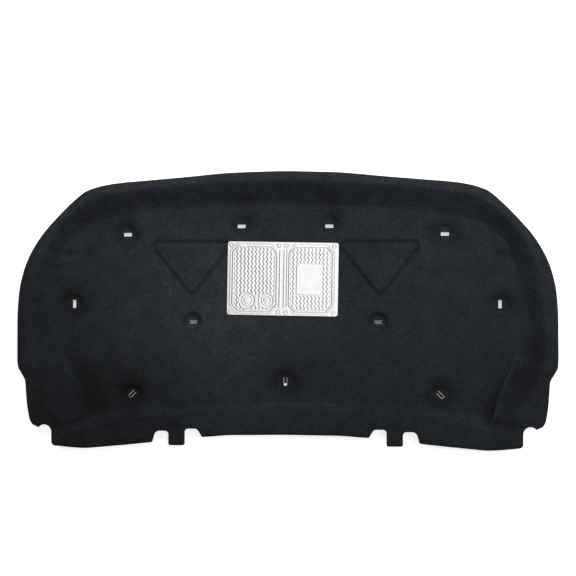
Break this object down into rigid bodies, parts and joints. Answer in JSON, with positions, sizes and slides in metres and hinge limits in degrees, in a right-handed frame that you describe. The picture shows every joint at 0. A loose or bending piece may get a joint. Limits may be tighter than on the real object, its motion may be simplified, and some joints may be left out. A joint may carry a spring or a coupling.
{
  "type": "hood insulation pad",
  "caption": "Moulded felt pad for the underside of a hood: a shallow tray with a raised rim, recessed clip slots, stiffening beads, edge tabs and a foil heat shield.",
  "frame": {"origin": "middle of the pad's outline, on the flat back", "axes": "+X along the width, +Y to the long crowned edge away from the two tabs, +Z out of the engine side, away from the hood"},
  "size_m": [1.2506, 0.642, 0.0341],
  "materials": {
    "felt": "matt needle felt",
    "foil": "embossed foil, satin"
  },
  "bodies": {
    "root": {"felt_pad": "felt", "foil_heat_shield": "foil"}
  },
  "joints": []
}
